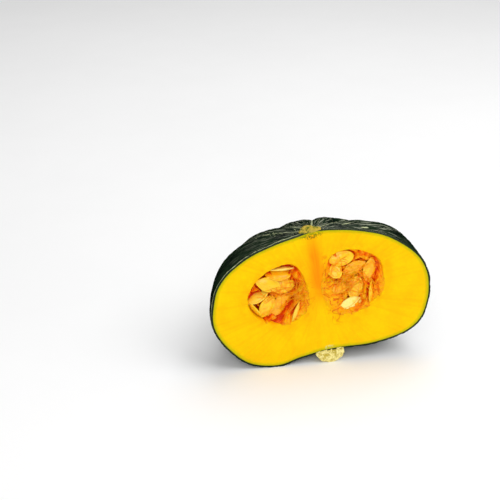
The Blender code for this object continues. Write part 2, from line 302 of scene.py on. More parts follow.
@lru_cache(maxsize=None)
def outline_point(outline, share):
    """Point of the smooth curve through an outline, at a share of its length."""
    mirror_top = (-outline[1][0], outline[1][1])
    mirror_bottom = (-outline[-2][0], outline[-2][1])
    points = [Vector(point) for point in (mirror_top, *outline, mirror_bottom)]
    steps = [(end - start).length for start, end in zip(points, points[1:])]
    reach = share * sum(steps[1:-1])
    index = 1
    while reach > steps[index] and index < len(outline) - 1:
        reach -= steps[index]
        index += 1
    step = steps[index]
    start, end = points[index], points[index + 1]
    slope_start = (end - points[index - 1]) * step / (steps[index - 1] + step)
    slope_end = (points[index + 2] - start) * step / (step + steps[index + 1])
    t = min(reach / step, 1.0)
    return (start * (2 * t ** 3 - 3 * t ** 2 + 1) + slope_start * (t ** 3 - 2 * t ** 2 + t)
            + end * (3 * t ** 2 - 2 * t ** 3) + slope_end * (t ** 3 - t ** 2))


def section_point(azimuth, share):
    """Point of the smooth body in the half plane at an azimuth, between the two outlines."""
    to_left = (1 - math.cos(azimuth)) / 2
    right = outline_point(RIGHT_OUTLINE, share)
    return right.lerp(outline_point(LEFT_OUTLINE, share), to_left)


def furrow(azimuth, share):
    """Depth of the furrows between ribs, shallow at both ends of the axis."""
    turn = math.degrees(azimuth)
    dips = (math.exp(-((turn - middle) / FURROW_HALF_WIDTH) ** 2) for middle in FURROWS)
    return FURROW_DEPTH * sum(dips) * math.sin(math.pi * share) ** FURROW_FADE


def swell(azimuth, share):
    """How far the skin stands out beyond the two outlines."""
    turn = math.degrees(azimuth)
    return sum(size * math.exp(-((turn - middle) / half) ** 2 - ((share - along) / reach) ** 2)
               for middle, half, along, reach, size in SWELLS)


def skin_frame(azimuth, share):
    """Point of the smooth ribbed skin and its outward direction, both in the half plane."""
    here = section_point(azimuth, share)
    after = section_point(azimuth, min(share + SLOPE_STEP, 1))
    along = after - section_point(azimuth, max(share - SLOPE_STEP, 0))
    outward = Vector((-along.y, along.x)).normalized()
    spot = Vector((here.x * math.cos(azimuth), here.x * math.sin(azimuth), here.y))
    lump = LUMP_DEPTH * noise.noise(spot / LUMP_SIZE)
    return here - outward * (furrow(azimuth, share) + lump - swell(azimuth, share)), outward, spot


def skin_point(azimuth, share, inset):
    """Point of the ribbed skin, or of a layer at a depth under it."""
    here, outward, _ = skin_frame(azimuth, share)
    place = here - outward * inset
    return Vector((place.x * math.cos(azimuth), place.x * math.sin(azimuth), place.y))


def crease_gap(azimuth, share, radius):
    """Distance along the skin to the middle of the nearest furrow."""
    turn = math.degrees(azimuth)
    gaps = []
    for middle in FURROWS:
        wander = CREASE_WANDER * noise.noise(Vector((middle, share * CREASE_WANDER_SCALE, 0.0)))
        gaps.append(abs(turn - middle - wander * math.sin(math.pi * share)))
    return math.radians(min(gaps)) * max(radius, 0.002)


def skin_relief(azimuth, share, spot, gap, settings):
    """Height of warts, wrinkles and the crease in each furrow."""
    wart = noise.fractal(spot / WART_SIZE, 0.9, 2.1, 3)
    patch = noise.noise(spot / WARTY_PATCH_SIZE + Vector((3.0, 0.0, 7.0)))
    warty = 0.35 + 0.65 * smooth(0.5 + 1.4 * patch)
    along = Vector((math.cos(azimuth) * 0.09, math.sin(azimuth) * 0.09, share * 0.22 / WRINKLE_STRETCH))
    fold = 1 - abs(noise.noise(along / WRINKLE_SIZE + Vector((0.6 * wart, 0.0, 0.6 * wart)))) * 2
    crease = CREASE_DEPTH * math.exp(-(gap / CREASE_HALF_WIDTH) ** 2)
    ends = smooth(math.sin(math.pi * share) / 0.25)
    return (settings.wart_height * wart * warty + settings.wrinkle_height * fold) * ends - crease


def new_attributes(mesh, numbers, vectors=()):
    """Adds attributes to a mesh, and gives them by name once all of them are there."""
    for name in numbers:
        mesh.verts.layers.float.new(name)
    for name in vectors:
        mesh.verts.layers.float_vector.new(name)
    return ({name: mesh.verts.layers.float[name] for name in numbers}
            | {name: mesh.verts.layers.float_vector[name] for name in vectors})


def mesh_data(name, mesh):
    """Mesh data from a bmesh, which is then freed."""
    data = bpy.data.meshes.new(name)
    mesh.to_mesh(data)
    mesh.free()
    return data


def joined(meshes):
    """One bmesh that holds several: the first, with the others added."""
    for mesh in meshes[1:]:
        layer = mesh_data("layer", mesh)
        meshes[0].from_mesh(layer)
        bpy.data.meshes.remove(layer)
    return meshes[0]


def new_object(name, data):
    """An object of the scene that holds the data."""
    thing = bpy.data.objects.new(name, data)
    bpy.context.scene.collection.objects.link(thing)
    return thing


def fine_ball(mesh, columns, rows, matrix=Matrix(), cut=False):
    """Adds a unit ball, or its half behind y = 0, made finer by subdividing a coarse one."""
    bmesh.ops.create_uvsphere(mesh, u_segments=columns // FINER, v_segments=rows // FINER, radius=1,
                              matrix=matrix)
    if cut:
        everything = mesh.verts[:] + mesh.edges[:] + mesh.faces[:]
        bmesh.ops.bisect_plane(mesh, geom=everything, dist=1e-5, plane_co=(0, 0, 0),
                               plane_no=(0, -1, 0), clear_outer=True)
    bmesh.ops.subdivide_edges(mesh, edges=mesh.edges[:], cuts=FINER - 1, use_grid_fill=True)
    for vertex in mesh.verts:
        vertex.co.normalize()


def fruit_angles(place):
    """Azimuth and share of the axis for a point of the unit ball, rounded so that rows are alike."""
    share = math.acos(clamp(place.z, -1.0, 1.0)) / math.pi
    return abs(math.atan2(place.y, place.x)), round(share, 5)


def back_direction(turn, share):
    """Direction to the back of a half ball, at a share of the way from its rim to its pole."""
    polar = math.pi / 2 * (1 + share)
    return Vector((math.sin(polar) * math.cos(turn), -math.cos(polar), math.sin(polar) * math.sin(turn)))


def skin_mesh(settings):
    """The rind: a fine outer layer and a plain inner one, joined by a rounded rim at the cut."""
    mesh = bmesh.new()
    fine_ball(mesh, SKIN_COLUMNS, SKIN_ROWS, cut=True)
    layers = new_attributes(mesh, ("depth", "crease_gap"), ("streak",))
    for vertex in mesh.verts:
        azimuth, share = fruit_angles(vertex.co)
        vertex[layers["streak"]] = (math.cos(azimuth) * STREAK_COLUMNS, math.sin(azimuth) * STREAK_COLUMNS,
                                    share * STREAK_ROWS)
        here, outward, spot = skin_frame(azimuth, share)
        gap = crease_gap(azimuth, share, here.x)
        vertex[layers["crease_gap"]] = gap * 1000
        place = here + outward * skin_relief(azimuth, share, spot, gap, settings)
        vertex.co = (place.x * math.cos(azimuth), place.x * math.sin(azimuth), place.y)
    outer = set(mesh.verts)
    rim = [edge for edge in mesh.edges if edge.is_boundary]

    inner = bmesh.new()
    fine_ball(inner, INNER_COLUMNS, INNER_ROWS, cut=True)
    for vertex in inner.verts:
        azimuth, share = fruit_angles(vertex.co)
        vertex.co = skin_point(azimuth, share, settings.thickness)
    bmesh.ops.reverse_faces(inner, faces=inner.faces[:])
    joined([mesh, inner])
    for vertex in mesh.verts:
        if vertex not in outer:
            vertex[layers["depth"]] = 1.0
            vertex[layers["crease_gap"]] = FAR_FROM_CREASE
    rims = [edge for edge in mesh.edges if edge.is_boundary]
    bmesh.ops.bridge_loops(mesh, edges=rims)
    bmesh.ops.bevel(mesh, geom=rim, offset=RIM_ROUNDING, offset_type='OFFSET', affect='EDGES',
                    segments=2, profile=0.5, material=-1, clamp_overlap=True)
    for vertex in mesh.verts:
        vertex.co.y = max(vertex.co.y, 0.0)
    return mesh


def ring_value(values, turn):
    """Smooth value at a turn, between values that stand evenly round a circle."""
    reach = (turn / math.tau) % 1.0 * len(values)
    index = int(reach)
    t = reach - index
    before, start, end, after = (values[(index + step) % len(values)] for step in (-1, 0, 1, 2))
    return 0.5 * (2 * start + (end - before) * t + (2 * before - 5 * start + 4 * end - after) * t ** 2
                  + (3 * start - before - 3 * end + after) * t ** 3)


def chamber_reach(chamber, x, z):
    """Share of the way from a chamber's middle to its edge, and the turn, for a point in mm."""
    across, up = x - chamber.middle[0], z - chamber.middle[1]
    turn = math.atan2(up, across)
    return math.hypot(across, up) / ring_value(chamber.radii, turn), turn


def chamber_point(chamber, turn, radius):
    """Point of the cut plane in mm, at a turn and a radius from a chamber's middle."""
    return chamber.middle[0] + radius * math.cos(turn), chamber.middle[1] + radius * math.sin(turn)


def lip_share(chamber, turn):
    """How softly a chamber's edge turns in, as a share of its radius."""
    sharp = ring_value(chamber.edges, turn) / DEEPEST_EDGE
    return CRISP_LIP + (SOFT_LIP - CRISP_LIP) * (1 - clamp(sharp)) ** 2


def flesh_depth(x, z):
    """Depth of the flesh's face behind the cut, in mm, where chambers are sunk in it."""
    deepest = 0.0
    for chamber in (LEFT_CHAMBER, RIGHT_CHAMBER):
        reach, turn = chamber_reach(chamber, x, z)
        if reach < 1:
            deepest = max(deepest, chamber.reach * smooth((1 - reach) / lip_share(chamber, turn)))
    return deepest


def torn_share(chamber, x, z):
    """How torn the flesh is just outside a chamber's soft edge, on the side of the core."""
    reach, turn = chamber_reach(chamber, x, z)
    soft = 1 - clamp(ring_value(chamber.edges, turn) / 3.0)
    return soft * smooth((1.45 - reach) / 0.40) * smooth((18.0 - abs(x)) / 8.0) * smooth((abs(x) - 2.0) / 5.0)


def stroke_place(x, z):
    """Where a point lies on the short strokes that fan out from the core, across and along them."""
    bend = noise.noise(Vector((x / 6.0, z / 6.0, 9.0)))
    turn = math.atan2(z - 3.0, abs(x) + 5.0) + 0.2 * bend
    return Vector((turn * 10.0, (math.hypot(x, z - 3.0) + 2.0 * bend) / 6.0, math.copysign(3.0, x)))


def flesh_mesh(thickness):
    """The half body inside the rind, with its cut face and chambers."""
    layers = {}

    @lru_cache(maxsize=None)
    def edge_point(turn):
        azimuth = 0.0 if math.cos(turn) >= 0 else math.pi
        return skin_point(azimuth, math.acos(clamp(math.sin(turn), -1.0, 1.0)) / math.pi, thickness + SEAM)

    def face_point(vertex, turn, share):
        edge = edge_point(round(turn, 5))
        spot = edge * share
        x, z = spot.x * 1000, spot.z * 1000
        reaches = [chamber_reach(chamber, x, z)[0] for chamber in (LEFT_CHAMBER, RIGHT_CHAMBER)]
        ripple = CUT_RIPPLE * (0.5 + noise.noise(spot / CUT_RIPPLE_SIZE)) * smooth((1 - share) / 0.06)
        lift = CUT_BULGE * smooth((min(reaches) - 1.0) / 0.35) - CUT_BULGE
        vertex.co = (spot.x, flesh_depth(x, z) / 1000 + ripple - lift * smooth((1 - share) / 0.3), spot.z)
        down = (CORE_TOP - spot.z) / (CORE_TOP - CORE_BOTTOM)
        shift = spot.x - CORE_LEAN * (spot.z - CORE_TOP) + 0.0012
        fade = (0.5 + 0.5 * smooth(down / 0.3)) * smooth((1 - down) / 0.35)
        width = CORE_HALF_WIDTH + CORE_SPREAD * clamp(down)
        vertex[layers["core"]] = math.exp(-(shift / width) ** 2) * fade
        vertex[layers["from_edge"]] = (1 - share) * edge.length * 1000
        vertex[layers["halo"]] = smooth((1.45 - min(reaches)) / 0.5)
        vertex[layers["torn"]] = torn_share(RIGHT_CHAMBER, x, z) + 0.3 * torn_share(LEFT_CHAMBER, x, z)
        vertex[layers["stroke"]] = stroke_place(x, z)
        vertex[layers["fibre"]] = Vector((math.cos(turn) * FIBRE_COLUMNS, math.sin(turn) * FIBRE_COLUMNS,
                                          share * FIBRE_ROWS))

    def back_point(vertex, turn, share):
        azimuth, along = fruit_angles(back_direction(turn, share))
        vertex.co = skin_point(azimuth, along, thickness + SEAM)

    return layered_body(FLESH_COLUMNS, FLESH_FACE_ROWS, FLESH_BACK_ROWS, face_point, back_point, layers,
                        ("core", "from_edge", "halo", "torn"), ("fibre", "stroke"))


def layered_body(columns, face_rows, back_rows, face_point, back_point, layers, numbers, vectors=()):
    """A closed half body: a ball whose front pole is in the middle of the cut face.

    face_point and back_point place a vertex from its turn round that pole and its share of the way
    out to the edge of the cut, or back from it, and fill in the attributes kept in layers.
    """
    mesh = bmesh.new()
    layers.update(new_attributes(mesh, numbers, vectors))
    rows = face_rows + back_rows
    fine_ball(mesh, columns, rows, Matrix.Rotation(math.radians(90), 4, 'X'))
    for vertex in mesh.verts:
        turn = math.atan2(vertex.co.z, vertex.co.x)
        row = rows * math.acos(clamp(-vertex.co.y, -1.0, 1.0)) / math.pi
        if row < face_rows + 0.5:
            face_point(vertex, turn, min(row / face_rows, 1.0))
        else:
            back_point(vertex, turn, (row - face_rows) / back_rows)
    return mesh


def seed_spot(seed, x, z):
    """Distance from a seed's middle in the cut plane, in mm: 1 is on its edge."""
    middle_x, middle_z, _, spin, turn, _, _ = seed
    across, up = x - middle_x, z - middle_z
    angle = math.radians(spin)
    along = across * math.cos(angle) + up * math.sin(angle)
    aside = up * math.cos(angle) - across * math.sin(angle)
    half_length, flat, on_edge = SEED_HALF_SIZES
    half_width = flat * abs(math.cos(math.radians(turn))) + on_edge * abs(math.sin(math.radians(turn)))
    return math.hypot(along / half_length, aside / half_width)


def strand_ridge(chamber, x, z):
    """Height of the ridges that fan out from a chamber's root, from 0 in a gap to 1 on a crest."""
    across, up = x - chamber.root[0], z - chamber.root[1]
    bend = noise.noise(Vector((x / 7.5, z / 7.5, chamber.middle[0])))
    turn = math.atan2(up, abs(across)) + 0.30 * bend
    length = math.hypot(across, up) + 3.0 * bend
    spot = Vector((turn * STRAND_SPREAD, length / STRAND_LENGTH, chamber.middle[0]))
    ridge = 1 - 2.2 * abs(noise.noise(spot))
    fine = 1 - 2.2 * abs(noise.noise(spot * 2.3 + Vector((5.0, 0.0, 0.0))))
    return clamp(0.65 * ridge + 0.35 * fine)


def pulp_height(chamber, seeds, x, z):
    """Depth of the pulp behind the cut, in mm, and a value from 0 to 1 for its colour: how far it stands
    above its bottom, lowered where it lies deep, as painted shade.
    """
    reach, turn = chamber_reach(chamber, x, z)
    edge = ring_value(chamber.edges, turn)
    climb = 1.3 + 1.7 * clamp(edge / 3.0)
    base = chamber.recess + (edge - chamber.recess) * clamp(reach) ** climb
    loose = clamp(base / 4.0)
    ridge = strand_ridge(chamber, x, z)
    foam = noise.noise(Vector((x, z, chamber.middle[1])) / FOAM_SIZE)
    lift = (RIDGE_HEIGHT * (ridge - 0.45) + FOAM_HEIGHT * foam) * (0.25 + 0.75 * loose)
    for seed in seeds:
        away = seed_spot(seed, x, z)
        lift += COLLAR_HEIGHT * loose * math.exp(-((away - COLLAR_REACH) / COLLAR_WIDTH) ** 2)
        lift -= POCKET_DEPTH * loose * smooth((1.22 - away) / 0.3)
    depth = base - lift
    if depth < 0.6:
        depth = 0.6 * math.exp((depth - 0.6) / 0.6)
    # Pulp that lies deep gets a lower value: painted shade that darkens its colour.
    return depth, clamp(0.55 + lift / 4.5 - 0.11 * max(0.0, depth - 2.5))


def pulp_marks(chamber, seeds, x, z, depth):
    """How far pulp has turned to flesh at a soft edge, how torn it is, and a ring at each seed's edge where
    painted shade outlines the seed.
    """
    reach, turn = chamber_reach(chamber, x, z)
    soft = 1 - clamp(ring_value(chamber.edges, turn) / 1.8)
    # Painted shade: a ring just outside each seed's edge, weaker at soft edges.
    outline = max(math.exp(-((seed_spot(seed, x, z) - 1.07) / 0.10) ** 2) for seed in seeds)
    merged = soft * smooth((reach - 0.35) / 0.35) * smooth((3.6 - depth) / 1.8)
    torn = soft * smooth((reach - 0.35) / 0.25)
    return merged, torn, outline * (1 - 0.6 * soft)


def pulp_mesh(chamber, seeds):
    """Wet pulp of one chamber, closed behind by the chamber's round bottom."""
    layers = {}

    def face_point(vertex, turn, share):
        x, z = chamber_point(chamber, turn, share * PULP_OVERLAP * ring_value(chamber.radii, turn))
        depth, height = pulp_height(chamber, seeds, x, z)
        vertex.co = (x / 1000, depth / 1000, z / 1000)
        vertex[layers["height"]] = height
        marks = pulp_marks(chamber, seeds, x, z, depth)
        for name, mark in zip(("merged", "torn", "outline"), marks):
            vertex[layers[name]] = mark
        vertex[layers["stroke"]] = stroke_place(x, z)

    def back_point(vertex, turn, share):
        polar = math.pi / 2 * (1 + share)
        radius = math.sin(polar) * PULP_OVERLAP * ring_value(chamber.radii, turn)
        x, z = chamber_point(chamber, turn, radius)
        edge = pulp_height(chamber, seeds, x, z)[0] if share < 0.01 else DEEPEST_EDGE
        vertex.co = (x / 1000, (edge + (chamber.reach - edge) * -math.cos(polar)) / 1000, z / 1000)

    return layered_body(PULP_COLUMNS, PULP_FACE_ROWS, PULP_BACK_ROWS, face_point, back_point, layers,
                        ("height", "merged", "torn", "outline"), ("stroke",))


def seed_thickness(share):
    """Thickness of a seed, from its middle out to its edge: plump, then a thin raised rim."""
    plump = 0.95 * max(0.0, 1 - (share / 0.84) ** 2) ** 0.6
    rim = 0.34 * math.sqrt(max(0.0, 1 - ((share - 0.90) / 0.10) ** 2))
    return max(plump, rim)


def seed_mesh(seed, settings):
    """One flat seed, blunt at one end and pointed at the other, where it lies in the pulp."""
    x, z, depth, spin, turn, dip, film = seed
    mesh = bmesh.new()
    film_layer = mesh.verts.layers.float.new("film")
    bmesh.ops.create_uvsphere(mesh, u_segments=SEED_COLUMNS, v_segments=SEED_ROWS, radius=1)
    for vertex in mesh.verts:
        share = math.hypot(vertex.co.x, vertex.co.y)
        dent = 0.05 * noise.noise(vertex.co * 2.2 + Vector((x, z, depth)))
        side = math.copysign(1.0, vertex.co.z) if abs(vertex.co.z) > 1e-4 else 0.0
        vertex.co.z = side * seed_thickness(share) * (1 + dent)
        vertex.co.y *= 1 - SEED_TIP_TAPER * max(0.0, vertex.co.x) ** 2
        vertex.co.x += dent
        vertex[film_layer] = film
    lie = (Matrix.Translation((x / 1000, depth / 1000, z / 1000))
           @ Matrix.Rotation(math.radians(90), 4, 'X')
           @ Matrix.Rotation(math.radians(spin), 4, 'Z')
           @ Matrix.Rotation(math.radians(dip), 4, 'Y')
           @ Matrix.Rotation(math.radians(turn), 4, 'X')
           @ Matrix.Diagonal((settings.length / 2, settings.width / 2, SEED_THICKNESS / 2, 1)))
    bmesh.ops.transform(mesh, matrix=lie, verts=mesh.verts)
    return mesh


def front_of(pieces):
    """Trees of the pieces that a strand can lie on, in the world."""
    graph = bpy.context.evaluated_depsgraph_get()
    return [BVHTree.FromObject(piece, graph) for piece in pieces]


def front_depth(trees, x, z, deepest):
    """Depth in mm of what is first behind the cut at a point in mm."""
    start = LIE @ Vector((x / 1000, -RAY_START, z / 1000))
    inward = (LIE.to_3x3() @ Vector((0, 1, 0))).normalized()
    nearest = deepest / 1000 + RAY_START
    for tree in trees:
        distance = tree.ray_cast(start, inward)[3]
        if distance is not None:
            nearest = min(nearest, distance)
    return (nearest - RAY_START) * 1000


def strand_route(chamber, chance):
    """A strand's route across the cut plane in mm, from near the chamber's root to its far wall."""
    from_turn = math.atan2(chamber.root[1] - chamber.middle[1], chamber.root[0] - chamber.middle[0])
    start_turn = from_turn + chance.gauss(0, 0.75)
    end_turn = start_turn + math.pi + chance.gauss(0, 0.9)
    start_reach, end_reach = chance.uniform(0.15, 0.95), chance.uniform(0.55, 0.99)
    if chance.random() < 0.35:
        start_turn, end_turn = chance.uniform(0, math.tau), chance.uniform(0, math.tau)
    ends = []
    for turn, reach in ((start_turn, start_reach), (end_turn, end_reach)):
        ends.append(Vector(chamber_point(chamber, turn, reach * ring_value(chamber.radii, turn))))
    start, end = ends
    if (end - start).length > LONGEST_STRAND:
        end = start + (end - start) * chance.uniform(0.4, 0.8)
    count = max(6, int((end - start).length / STRAND_STEP))
    seed_value = chance.uniform(0, 50)
    bow = chance.uniform(-0.16, 0.16)
    aside = Vector((start.y - end.y, end.x - start.x))
    flat = []
    for step in range(count + 1):
        t = step / count
        wave = bow * math.sin(math.pi * t) + 0.07 * noise.noise(Vector((t * 3, seed_value, 0)))
        flat.append(start.lerp(end, t) + aside * wave)
    return flat


def strand_line(chamber, seeds, trees, chance):
    """Points of one strand in mm, mostly clear of the seeds and taut over the gaps."""
    for _ in range(STRAND_TRIES):
        flat = strand_route(chamber, chance)
        crossing = sum(any(seed_spot(seed, *point) < 0.9 for seed in seeds) for point in flat) / len(flat)
        if crossing < MOST_CROSSING or chance.random() < CROSSING_CHANCE:
            break
    depths = [front_depth(trees, point.x, point.y, chamber.recess) for point in flat]
    points = []
    for step, point in enumerate(flat):
        window = depths[max(0, step - 2):step + 3]
        taut = 0.6 * min(window) + 0.4 * depths[step]
        points.append((point.x, max(taut, LOWEST_STRAND), point.y))
    return points


def strand_mesh(chamber, seeds, trees, thickest, seed_value):
    """All loose strands of one chamber, as tapered tubes."""
    chance = random.Random(seed_value)
    curve = bpy.data.curves.new("strands", 'CURVE')
    curve.dimensions = '3D'
    curve.bevel_depth = thickest
    curve.bevel_resolution = 2
    curve.resolution_u = 2
    curve.use_fill_caps = True
    for _ in range(chamber.strands):
        points = strand_line(chamber, seeds, trees, chance)
        spline = curve.splines.new('NURBS')
        spline.points.add(len(points) - 1)
        thick = chance.uniform(0.35, 1.0)
        for step, (point, place) in enumerate(zip(spline.points, points)):
            t = step / (len(points) - 1)
            point.co = (*[value / 1000 for value in place], 1)
            point.radius = thick * (0.35 + 0.65 * math.sin(math.pi * (0.06 + 0.88 * t)))
        spline.use_endpoint_u = True
        spline.order_u = 3
    holder = new_object("strands", curve)
    graph = bpy.context.evaluated_depsgraph_get()
    graph.update()
    tubes = bpy.data.meshes.new_from_object(holder.evaluated_get(graph))
    bpy.data.objects.remove(holder)
    bpy.data.curves.remove(curve)
    mesh = bmesh.new()
    mesh.from_mesh(tubes)
    bpy.data.meshes.remove(tubes)
    bmesh.ops.remove_doubles(mesh, verts=mesh.verts, dist=1e-6)
    return mesh


def cork_lump(spot, size):
    """Height of the crumbly lumps of cork, from 0 in a pit to 1 on a lump."""
    folded = 1 - 2 * abs(noise.fractal(spot / size, 0.8, 2.0, 2))
    return clamp(0.5 * folded + 0.5 * (0.5 + noise.noise(spot / size + Vector((4.0, 0.0, 0.0)))))


def cork_mesh(cork, below, settings):
    """Corky end of the fruit, cut through, with its lumps and pits."""
    middle, radius, height, sunk = cork
    root = skin_point(0.0, 1.0 if below else 0.0, 0.0).z
    outward = -1 if below else 1
    layers = {}

    def placed(direction, share):
        reach = height if direction.z * outward > 0 else sunk
        place = Vector((direction.x * radius, direction.y * radius, direction.z * reach)) * share
        return place + Vector((middle, 0, root))

    def lumpy(place, direction):
        lump = cork_lump(place, CORK_LUMP_SIZE) * 0.75 + cork_lump(place, CORK_CRUMB_SIZE) * 0.25
        return lump, place + direction * settings.lump * (lump - 0.4)

    def face_point(vertex, turn, share):
        direction = Vector((math.cos(turn), 0, math.sin(turn)))
        lump, place = lumpy(placed(direction, share), direction * share)
        pit = cork_lump(Vector((place.x, 0.007, place.z)), CORK_PIT_SIZE)
        vertex.co = (place.x, -CORK_PROUD + (0.45 - pit) * settings.lump * 0.8 * smooth((1 - share) / 0.1),
                     place.z)
        vertex[layers["lump"]] = 0.35 * lump + 0.65 * pit

    def back_point(vertex, turn, share):
        direction = back_direction(turn, share)
        lump, place = lumpy(placed(direction, 1.0), direction)
        vertex.co = (place.x, max(place.y, 0.0001), place.z)
        vertex[layers["lump"]] = lump

    return layered_body(CORK_COLUMNS, CORK_FACE_ROWS, CORK_BACK_ROWS, face_point, back_point, layers,
                        ("lump",))


def new_look(name):
    """A new material and its node tree."""
    look = bpy.data.materials.new(name)
    look.use_nodes = True
    return look, look.node_tree


def shade(tree, inputs):
    """Sets inputs of the material's shader, each to a value or to the socket that it comes from."""
    for name, value in inputs.items():
        feed(tree, tree.nodes["Principled BSDF"].inputs[name], value)


def add_node(tree, kind, inputs=None, **settings):
    """A node with settings and inputs: an input is a value, or the socket that it comes from."""
    node = tree.nodes.new(kind)
    for key, value in settings.items():
        setattr(node, key, value)
    for key, value in (inputs or {}).items():
        feed(tree, node.inputs[key], value)
    return node


def feed(tree, socket, value):
    if isinstance(value, bpy.types.NodeSocket):
        tree.links.new(value, socket)
    elif hasattr(value, "__len__") and len(value) == 3 and socket.type == 'RGBA':
        socket.default_value = (*value, 1)
    else:
        socket.default_value = value


def fruit_space(tree):
    """Object coordinates turned back to the fruit's own frame, in metres."""
    place = add_node(tree, "ShaderNodeTexCoord").outputs["Object"]
    mapping = add_node(tree, "ShaderNodeMapping", {"Vector": place}, vector_type='TEXTURE')
    mapping.inputs["Location"].default_value = LIE.to_translation()
    mapping.inputs["Rotation"].default_value = LIE.to_euler('XYZ')
    return mapping.outputs["Vector"]


def split(tree, vector):
    """The three parts of a place."""
    return add_node(tree, "ShaderNodeSeparateXYZ", {0: vector}).outputs


def near(tree, place, middle, reach, soft=0.4):
    """1 near a point, given across and up, and 0 beyond an oval of that reach round it."""
    across, _, up = split(tree, place)
    aside = times(tree, times(tree, across, middle[0], 'SUBTRACT'), 1 / reach[0])
    above = times(tree, times(tree, up, middle[1], 'SUBTRACT'), 1 / reach[1])
    distance = times(tree, times(tree, aside, aside), times(tree, above, above), 'ADD')
    return ranged(tree, distance, 1.0, soft)


def attribute(tree, name, output="Fac"):
    return add_node(tree, "ShaderNodeAttribute", attribute_name=name).outputs[output]


def clouds(tree, vector, scale, detail, roughness=0.5, distortion=0.0):
    """Noise, at a scale in the vector's own units."""
    return add_node(tree, "ShaderNodeTexNoise", {
        "Vector": vector, "Scale": scale, "Detail": detail, "Roughness": roughness,
        "Distortion": distortion}).outputs["Fac"]


def grain(tree, vector, size, detail=3.0, roughness=0.6):
    """Noise whose spots are about size metres wide."""
    return clouds(tree, vector, 1 / size, detail, roughness)


def uneven(tree, vector, size, low, high, detail=3.0):
    """Value that varies softly from low to high, in spots about size metres wide."""
    return ranged(tree, grain(tree, vector, size, detail), 0.3, 0.7, low, high)


def ranged(tree, value, low, high, to_low=0.0, to_high=1.0):
    """Value taken from one range to another, and held at its ends."""
    return add_node(tree, "ShaderNodeMapRange", {
        "Value": value, "From Min": low, "From Max": high, "To Min": to_low, "To Max": to_high,
    }, interpolation_type='SMOOTHSTEP').outputs["Result"]


def times(tree, first, second, operation='MULTIPLY'):
    return add_node(tree, "ShaderNodeMath", {0: first, 1: second}, operation=operation).outputs["Value"]


def mixed(tree, share, first, second, blend='MIX'):
    """Colour that goes from the first to the second."""
    mix = add_node(tree, "ShaderNodeMix", data_type='RGBA', blend_type=blend)
    feed(tree, mix.inputs[0], share)
    feed(tree, mix.inputs[6], first)
    feed(tree, mix.inputs[7], second)
    return mix.outputs[2]


def thin_strokes(tree):
    """Thin wiggly lines that fan out from the core, broken into short strokes."""
    fan = attribute(tree, "stroke", "Vector")
    bands = clouds(tree, fan, 0.62, 1.0)
    apart = times(tree, times(tree, bands, 0.5, 'SUBTRACT'), 0.0, 'ABSOLUTE')
    broken = clouds(tree, fan, 1.5, 1.0)
    return times(tree, ranged(tree, apart, 0.050, 0.018), ranged(tree, broken, 0.42, 0.50))


def relief(tree, height, distance, strength, normal=None):
    """Bump of a height in metres."""
    inputs = {"Height": height, "Distance": distance, "Strength": strength}
    if normal is not None:
        inputs["Normal"] = normal
    return add_node(tree, "ShaderNodeBump", inputs).outputs["Normal"]


def blotches_group():
    """Shared effect: a colour that varies softly between two, with fine specks of it."""
    found = bpy.data.node_groups.get("blotches")
    if found:
        return found
    group = bpy.data.node_groups.new("blotches", "ShaderNodeTree")
    for name, kind in (("Vector", 'NodeSocketVector'), ("Size", 'NodeSocketFloat'),
                       ("First", 'NodeSocketColor'), ("Second", 'NodeSocketColor')):
        group.interface.new_socket(name, in_out='INPUT', socket_type=kind)
    group.interface.new_socket("Color", in_out='OUTPUT', socket_type='NodeSocketColor')
    given = group.nodes.new("NodeGroupInput").outputs
    out = group.nodes.new("NodeGroupOutput")
    scale = times(group, 1.0, given["Size"], 'DIVIDE')
    broad = clouds(group, given["Vector"], scale, 4.0)
    fine = clouds(group, given["Vector"], times(group, scale, 6.5), 2.0)
    both = times(group, times(group, broad, 0.7), times(group, fine, 0.3), 'ADD')
    group.links.new(mixed(group, ranged(group, both, 0.36, 0.64), given["First"], given["Second"]),
                    out.inputs["Color"])
    return group


def blotches(tree, vector, size, first, second):
    """Colour from the shared blotches effect."""
    node = add_node(tree, "ShaderNodeGroup", node_tree=blotches_group())
    for name, value in (("Vector", vector), ("Size", size), ("First", first), ("Second", second)):
        feed(tree, node.inputs[name], value)
    return node.outputs["Color"]


